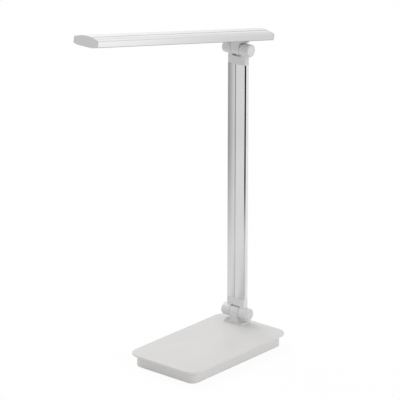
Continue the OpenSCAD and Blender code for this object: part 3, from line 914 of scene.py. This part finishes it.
@dataclass
class Arm:
    """The arm: its grooved front plate, its dark side strips, its rear profile and its screws.

    Attributes:
        plate_round: Rounding of the front plate's edges.
        profile_round: Rounding of the rear profile's edges.
        groove_reach: How far the groove's walls lie from the arm's centre plane at most.
        back_margin: Distance from the front plate's rear face within which no groove lies.
        screw_height: Head height of a screw.
        screw_shank: Shank diameter of a screw.
        screw_length: Shank length of a screw.
    """

    plate_round: float = 0.2 * MM
    profile_round: float = 0.5 * MM
    groove_reach: float = 2.1 * MM
    back_margin: float = 0.1 * MM
    screw_height: float = 1.2 * MM
    screw_shank: float = 2.45 * MM
    screw_length: float = 4.4 * MM

    def build(self) -> None:
        """Build and dress the arm."""
        self.front_plate()
        self.profile()
        self.strips()
        self.screw_set()

    def front_plate(self) -> None:
        """Round the front plate's long edges, paint shade into its groove and blacken its sides."""
        low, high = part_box("arm_front_plate")
        bm = merged_copy("arm_front_plate")
        centre = (low.x + high.x) / 2

        def inside(point: Vector) -> bool:
            """Tell whether a point lies in the middle groove."""
            return abs(point.x - centre) < self.groove_reach and point.y < high.y - self.back_margin

        paint_groove_shade(bm, inside)
        for face in bm.faces:
            if abs(face.normal.x) > ALIGNED and not inside(face.calc_center_median()):
                face.material_index = 2
        round_edges(bm, self.plate_round, lambda a, b: max(a.y, b.y) < low.y + TOUCH, 2)
        piece = finished(bm, "arm_face", "arm", ARM_FACE_SHADED_ALUMINIUM, ARM_GROOVE_SHADE, BLACK_STRIP_WITH_PAINTED_LIGHT)
        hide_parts("arm_front_plate")

    def profile(self) -> None:
        """Round the rear profile's long edges."""
        low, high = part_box("arm_profile")
        bm = merged_copy("arm_profile")

        def long_edge(a: Vector, b: Vector) -> bool:
            """Tell whether an edge runs along the outside of the arm."""
            return abs(a.z - b.z) > LONG and min(abs(a.x - low.x), abs(a.x - high.x)) < TOUCH

        round_edges(bm, self.profile_round, long_edge, 3)
        piece = finished(bm, "arm_back", "arm", ARM_ALUMINIUM)
        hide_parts("arm_profile")

    def strips(self) -> None:
        """Dress the dark strips in the arm's sides."""
        bm = merged_copy("arm_side_strips")
        piece = finished(bm, "side_channels", "arm", BLACK_STRIP_WITH_PAINTED_LIGHT)
        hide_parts("arm_side_strips")

    def screw_set(self) -> None:
        """Set the four screws in the arm's back."""
        boxes = solid_centres("bracket_screws")
        low, high = boxes[0]
        kind = CrossScrew(high.x - low.x, self.screw_height, self.screw_shank, self.screw_length)
        places = [Vector(((a.x + b.x) / 2, b.y - self.screw_height, (a.z + b.z) / 2)) for a, b in boxes]
        back = Matrix.Rotation(math.radians(-90), 4, "X")
        screws(kind, places, back, "arm_screw_set", "arm", "bracket_screws")


@dataclass
class Head:
    """The light head: its arched profile, its end pieces, its opal cover and its light strip.

    Attributes:
        profile_round: Rounding of the profile's long edges.
        end_round: Rounding of the end pieces' outer edges.
        cover_round: Rounding of the opal cover's edges.
        chip_frame: Width of the white frame round each light's yellow field.
        grooves: Distance from the middle and half width of the grooves in the top.
        tiny: Length of the outline's small steps, which are closed before a rounding.
        skin: Distance from the outside within which a long edge is part of the outline.
        outline_reach: Distance from the middle past which the outline's long edges lie.
        groove_zone: Depth below the top within which the grooves lie.
        end_skin: Distance from an end or from the lower face within which an edge is part of it.
        rim_slope: Largest share of a rim face's normal that points along the head.
        strip_end: Distance from a strip's ends within which an edge is part of its outline.
        strip_reach: Distance from the middle past which a strip's long edges lie.
        chip_sink: Depth of the yellow field.
    """

    profile_round: float = 0.7 * MM
    end_round: float = 0.25 * MM
    cover_round: float = 0.25 * MM
    chip_frame: float = 0.35 * MM
    grooves: tuple[tuple[float, float], ...] = ((7.5 * MM, 0.65 * MM), (13.5 * MM, 0.55 * MM))
    tiny: float = 0.12 * MM
    skin: float = 0.05 * MM
    outline_reach: float = 17 * MM
    groove_zone: float = 3 * MM
    end_skin: float = 0.02 * MM
    rim_slope: float = 0.3
    strip_end: float = 0.1 * MM
    strip_reach: float = 8 * MM
    chip_sink: float = 0.1 * MM

    def build(self) -> None:
        """Build and dress the head."""
        self.profile()
        self.end_piece("head_front_cap", "front_end", -1)
        self.end_piece("head_rear_cap", "rear_end", 1)
        self.underside("diffuser", "opal_strip", OPAL)
        self.underside("head_tail_plate", "tail_strip", HEAD_SHADED_ALUMINIUM)
        self.lights()

    @cached_property
    def to_level(self) -> Matrix:
        """Lead from the part's own frame into the level head's, with the hinge at its origin."""
        return Matrix.Rotation(HEAD_TILT, 4, "X") @ Matrix.Translation(-joint_place("head_fold"))

    def level_box(self, bm: BMesh) -> tuple[Vector, Vector]:
        """Return a bmesh's corners in the level head's own frame."""
        points = [self.to_level @ vert.co for vert in bm.verts]
        low = Vector(min(p[axis] for p in points) for axis in range(3))
        high = Vector(max(p[axis] for p in points) for axis in range(3))
        return low, high

    def profile(self) -> None:
        """Round the long edges of the arched profile and paint shade into its grooves and onto its long
        edges.
        """
        bm = merged_copy("head_profile", self.tiny)
        low, high = self.level_box(bm)
        level = [self.to_level @ vert.co for vert in bm.verts]
        side = [p.z for p in level if abs(p.x) > high.x - self.tiny]
        foot = min(side) + self.profile_round
        brow = max(side) - self.profile_round

        def long_edge(a: Vector, b: Vector) -> bool:
            """Tell whether an edge is one of the outline's long edges."""
            p = self.to_level @ a
            q = self.to_level @ b
            outside = abs(abs(p.x) - high.x) < self.skin or p.z < low.z + self.skin
            return outside and abs(p.x) > self.outline_reach and abs(p.y - q.y) > LONG

        def inside(point: Vector) -> bool:
            """Tell whether a point lies in one of the four grooves."""
            p = self.to_level @ point
            near = any(abs(abs(p.x) - place) < half for place, half in self.grooves)
            return near and p.z > high.z - self.groove_zone

        paint_groove_shade(bm, inside)
        round_edges(bm, self.profile_round, long_edge, 3)
        # Painted shade: the faces of the lower and upper rounded long edges get the darker edge finishes.
        for face in bm.faces:
            p = self.to_level @ face.calc_center_median()
            if abs(p.x) > high.x - self.profile_round and not foot < p.z < brow:
                face.material_index = 2 if p.z < foot else 3
        piece = finished(
            bm, "head_shell", "head", HEAD_SHADED_ALUMINIUM, HEAD_GROOVE_SHADE, LOWER_EDGE_SHADE, UPPER_EDGE_SHADE
        )
        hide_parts("head_profile")

    def end_piece(self, node: str, name: str, side: int) -> None:
        """Round the outer edge of one end piece and paint shade on its rim faces.

        Args:
            node: The CAD node to copy.
            name: The new piece's name.
            side: -1 for the front end and 1 for the rear end.
        """
        bm = merged_copy(node, self.tiny)
        low, high = self.level_box(bm)
        end = high.y if side > 0 else low.y

        def outer(a: Vector, b: Vector) -> bool:
            """Tell whether an edge lies on the outer face."""
            return all(abs((self.to_level @ p).y - end) < self.end_skin for p in (a, b))

        round_edges(bm, self.end_round, outer, 3)
        # Rim faces, which turn away from the head's length, get the painted shade.
        for face in bm.faces:
            if abs((self.to_level.to_3x3() @ face.normal).y) < self.rim_slope:
                face.material_index = 1
        piece = finished(bm, name, "head", CAP_PLASTIC, CAP_RIM_SHADE)
        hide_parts(node)

    def underside(self, node: str, name: str, finish: Finish) -> None:
        """Round and dress one of the strips in the underside.

        Args:
            node: The CAD node to copy.
            name: The new piece's name.
            finish: Its finish.
        """
        bm = merged_copy(node)
        low, high = self.level_box(bm)

        def lower(a: Vector, b: Vector) -> bool:
            """Tell whether an edge lies on the lower face's outline."""
            p = self.to_level @ a
            q = self.to_level @ b
            flat = max(p.z, q.z) < low.z + self.end_skin
            rim = abs(abs(p.x) - abs(q.x)) < TOUCH or abs(p.y - q.y) < TOUCH
            outer = min(p.y - low.y, high.y - p.y) < self.strip_end or abs(p.x) > self.strip_reach
            return flat and rim and outer

        round_edges(bm, self.cover_round, lower, 2)
        piece = finished(bm, name, "head", finish)
        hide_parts(node)

    def lights(self) -> None:
        """Give each light a white frame and a yellow field."""
        bm = merged_copy("led_chips")
        down = self.to_level.inverted().to_3x3() @ Vector((0, 0, -1))
        fields = [face for face in bm.faces if face.normal.dot(down) > ALIGNED]
        inset = bmesh.ops.inset_individual(
            bm, faces=fields, thickness=self.chip_frame, depth=-self.chip_sink
        )
        frames = set(inset["faces"])
        for face in fields:
            if face not in frames:
                face.material_index = 1
        piece = finished(bm, "light_chips", "head", WHITE_LAMINATE, PHOSPHOR)
        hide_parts("led_chips")


INNER_FINISHES: dict[str, Finish] = {
    "counterweight": RAW_STEEL,
    "control_board": GREEN_LAMINATE,
    "board_chips": CHIP_RESIN,
    "board_screws": ZINC_STEEL,
    "touch_sensor": AMBER_FILM,
    "inlet_socket": BLACK_PLASTIC,
    "inlet_pin": PLATED_BRASS,
    "inlet_lead": LEAD_JACKET,
    "base_lead": LEAD_JACKET,
    "arm_lead": LEAD_JACKET,
    "head_lead": LEAD_JACKET,
    "post_backing_plate": RAW_STEEL,
    "post_screws": ZINC_STEEL,
    "lower_pin": ZINC_STEEL,
    "upper_pin": ZINC_STEEL,
    "lower_washers": BLACK_PLASTIC,
    "upper_washers": BLACK_PLASTIC,
    "lower_nut": ZINC_STEEL,
    "upper_nut": ZINC_STEEL,
    "led_board": WHITE_LAMINATE,
    "head_clamp_plate": RAW_STEEL,
    "head_post_screws": ZINC_STEEL,
}


def dress_inner_nodes() -> None:
    """Give each CAD node that stays in view its finish."""
    for node, finish in INNER_FINISHES.items():
        shown = frame["nodes"][node]
        shown.data.materials.clear()
        shown.data.materials.append(finish.material())
        LOG.info("%s: CAD node in %s", node, finish.name)


@dataclass
class Studio:
    """The pale floor, the plain light and the camera.

    Attributes:
        fill: Strength of the world's light on the object.
        key: Strength of the soft lamp from the left.
        key_from: Direction from the object to that lamp.
        key_spread: Its angular width, in degrees.
        side: Strength of the soft lamp from the right.
        side_from: Direction from the object to that lamp.
        side_spread: Its angular width, in degrees.
        floor_size: Side of the floor.
        floor_drop: Depth of the floor under the mat.
        floor_white: Share of the floor that shows plain white to the camera.
        azimuth: The camera's turn about Z, in degrees.
        elevation: The camera's height angle, in degrees.
        place: The camera's place.
        lens: Focal length in millimetres.
        sensor: Width of the sensor in millimetres.
    """

    fill: float = 0.62
    key: float = 1.1
    key_from: tuple[float, float, float] = (-0.7, 0.15, 0.8)
    key_spread: float = 36
    side: float = 0.75
    side_from: tuple[float, float, float] = (1.0, 0.25, 0.35)
    side_spread: float = 60
    floor_size: float = 12.0
    floor_drop: float = 0.05 * MM
    floor_white: float = 0.93
    azimuth: float = 40.43
    elevation: float = 18.92
    place: tuple[float, float, float] = (2.11279, -2.49699, 1.32799)
    lens: float = 251.79
    sensor: float = 36.0

    def build(self) -> None:
        """Build the whole studio."""
        self.world()
        self.floor()
        self.lamp("key_lamp", self.key, self.key_from, self.key_spread)
        self.lamp("side_lamp", self.side, self.side_from, self.side_spread)
        self.camera()

    def seen_directly(self, tree: NodeTree) -> NodeSocket:
        """Return 1 for rays from the camera, from gloss and through clear pieces."""
        path = add_node(tree, "LightPath")
        seen = path.outputs["Is Camera Ray"]
        for ray in ("Is Glossy Ray", "Is Transmission Ray"):
            pair = {0: seen, 1: path.outputs[ray]}
            seen = add_node(tree, "Math", pair, operation="MAXIMUM").outputs[0]
        return seen

    def world(self) -> None:
        """Light the object evenly and show white behind it."""
        world = bpy.data.worlds.new("studio")
        bpy.context.scene.world = world
        world.use_nodes = True
        tree = world.node_tree
        tree.nodes.clear()
        light = add_node(tree, "Background", {"Color": WHITE, "Strength": self.fill})
        white = add_node(tree, "Background", {"Color": WHITE, "Strength": 1.0})
        seen = self.seen_directly(tree)
        mix = add_node(tree, "MixShader", {0: seen, 1: light.outputs[0], 2: white.outputs[0]})
        add_node(tree, "OutputWorld", {"Surface": mix.outputs[0]})

    def floor(self) -> None:
        """Lay the floor under the mat."""
        bm = bmesh.new()
        bmesh.ops.create_grid(bm, x_segments=4, y_segments=4, size=self.floor_size / 2)
        bmesh.ops.translate(bm, verts=bm.verts, vec=(0, 0, -self.floor_drop))
        mesh = bpy.data.meshes.new("floor")
        bm.to_mesh(mesh)
        bm.free()
        floor = bpy.data.objects.new("floor", mesh)
        bpy.context.scene.collection.objects.link(floor)
        mesh.materials.append(self.floor_material())

    def floor_material(self) -> Material:
        """Return a matte white that shows nearly plain white to the camera."""
        made = bpy.data.materials.new("floor_white")
        made.use_nodes = True
        tree = made.node_tree
        tree.nodes.clear()
        matte = add_node(tree, "BsdfDiffuse", {"Color": WHITE})
        glow = add_node(tree, "Emission", {"Color": WHITE, "Strength": 1.0})
        direct = {0: self.seen_directly(tree), 1: self.floor_white}
        share = add_node(tree, "Math", direct, operation="MULTIPLY").outputs[0]
        mix = add_node(tree, "MixShader", {0: share, 1: matte.outputs[0], 2: glow.outputs[0]})
        add_node(tree, "OutputMaterial", {"Surface": mix.outputs[0]})
        return made

    def lamp(self, name: str, strength: float, towards: tuple[float, float, float], spread: float) -> None:
        """Add one soft distant lamp.

        Args:
            name: The lamp's name.
            strength: Its strength.
            towards: Direction from the object to the lamp.
            spread: Angular width of the lamp, in degrees.
        """
        data = bpy.data.lights.new(name, "SUN")
        data.energy = strength
        data.angle = math.radians(spread)
        lamp = bpy.data.objects.new(name, data)
        lamp.rotation_mode = "QUATERNION"
        lamp.rotation_quaternion = Vector(towards).to_track_quat("Z", "Y")
        bpy.context.scene.collection.objects.link(lamp)

    def camera(self) -> None:
        """Place the camera at the photograph's angle."""
        data = bpy.data.cameras.new("camera")
        data.sensor_width = self.sensor
        data.lens = self.lens
        data.clip_start = 0.1
        data.clip_end = 50.0
        camera = bpy.data.objects.new("camera", data)
        camera.location = self.place
        turn = math.radians(self.azimuth)
        lift = math.radians(self.elevation)
        ahead = Vector((-math.sin(turn) * math.cos(lift), math.cos(turn) * math.cos(lift), -math.sin(lift)))
        camera.rotation_mode = "QUATERNION"
        camera.rotation_quaternion = ahead.to_track_quat("-Z", "Y")
        bpy.context.scene.collection.objects.link(camera)
        bpy.context.scene.camera = camera
        bpy.context.scene.view_settings.view_transform = "Standard"


def main() -> None:
    """Build the lamp from the base up, then the studio."""
    logging.basicConfig(level=logging.INFO, format="%(message)s")
    Base().build()
    Hinge("arm_fold", "lower_post", "lower_bracket", "lower_hinge_caps", "base").build()
    Hinge("head_fold", "head_post", "upper_bracket", "upper_hinge_caps", "head").build()
    Arm().build()
    Head().build()
    dress_inner_nodes()
    Studio().build()


if __name__ == "__main__":
    main()
